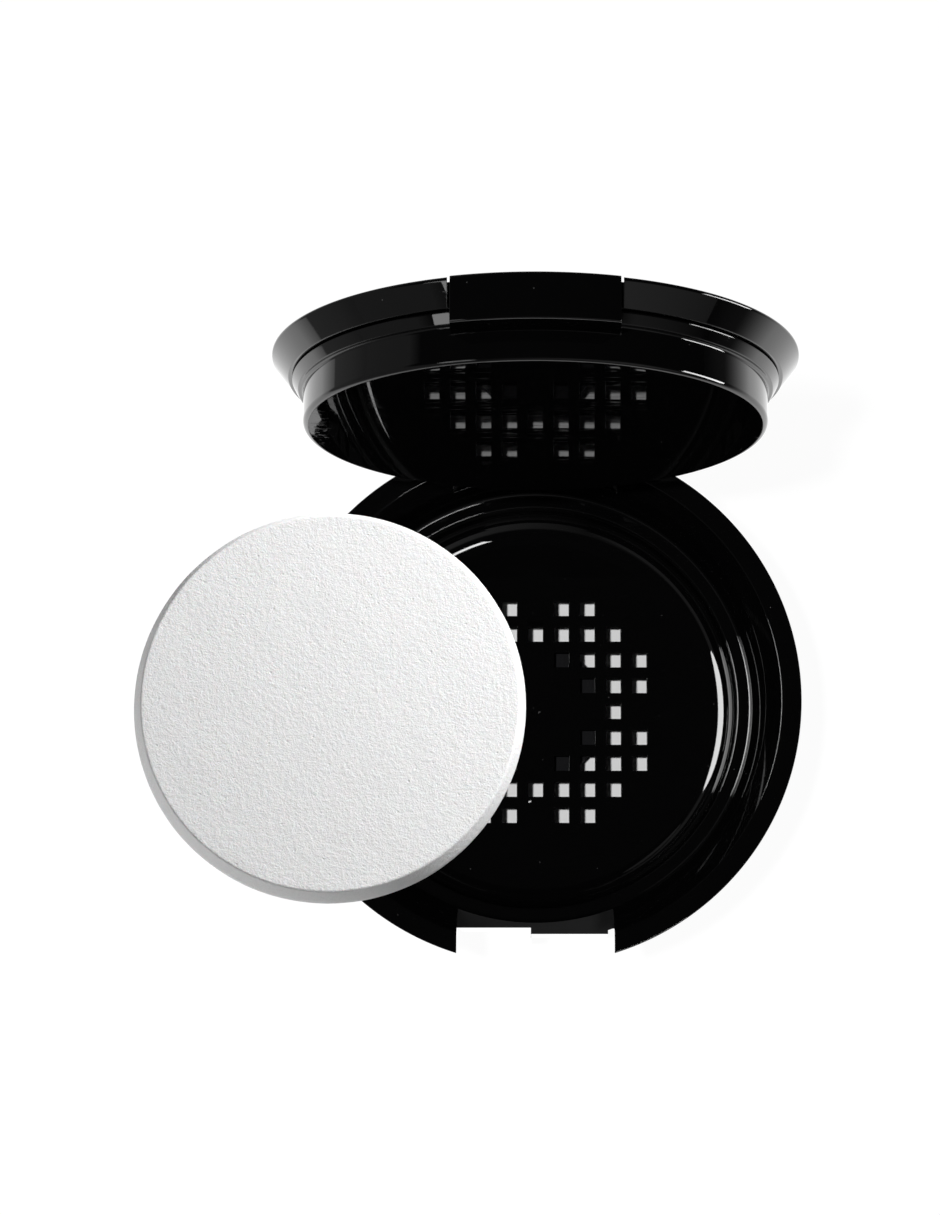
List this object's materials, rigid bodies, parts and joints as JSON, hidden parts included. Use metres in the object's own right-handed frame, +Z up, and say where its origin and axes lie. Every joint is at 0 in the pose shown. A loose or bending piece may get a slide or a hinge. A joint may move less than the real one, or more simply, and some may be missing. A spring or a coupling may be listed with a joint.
{
  "type": "powder compact",
  "caption": "Round gloss-black two-tier powder compact: vented sponge well in the base, tipping powder tray with mirror lid on a rear hinge, and a loose foam sponge.",
  "frame": {"origin": "centre of the foot ring on the table", "axes": "+Z up, -Y to the front with the thumb notch, +Y to the hinge, +X to the right seen from the front"},
  "size_m": [0.0999, 0.0843, 0.0946],
  "materials": {
    "black_plastic": "polished injection-moulded black",
    "label_paper": "blank black round label",
    "steel": "drawn pin wire",
    "adhesive": "double-sided tape",
    "pan_metal": "pressed sheet",
    "powder": "pressed face powder",
    "mirror_glass": "silvered glass",
    "foam": "fine white latex foam"
  },
  "bodies": {
    "base": {"base_shell": "black_plastic", "base_label": "label_paper", "hinge_pin": "steel"},
    "tray": {"powder_tray": "black_plastic", "pan_adhesive": "adhesive", "powder_pan": "pan_metal", "pressed_powder": "powder"},
    "lid": {"lid_cover": "black_plastic", "mirror_tape": "adhesive", "mirror": "mirror_glass"},
    "sponge": {"sponge": "foam"}
  },
  "joints": [
    {"name": "tray_hinge", "type": "hinge", "parent": "base", "child": "tray", "pos_m": [0, 0.038, 0.019], "axis": [1, 0, 0], "range_deg": [0, 94]},
    {"name": "lid_hinge", "type": "hinge", "parent": "tray", "child": "lid", "pos_m": [0, 0.038, 0.019], "axis": [-1, 0, 0], "range_deg": [0, 96]},
    {"name": "sponge_lift", "type": "hinge", "parent": "base", "child": "sponge", "pos_m": [-0.05422, -0.01895, 0.01465], "axis": [0.5736, -0.8191, 0], "range_deg": [0, 180]}
  ],
  "couplings": [
    {"joint": "sponge_lift", "follows": "tray_hinge", "ratio": 1.9149}
  ]
}
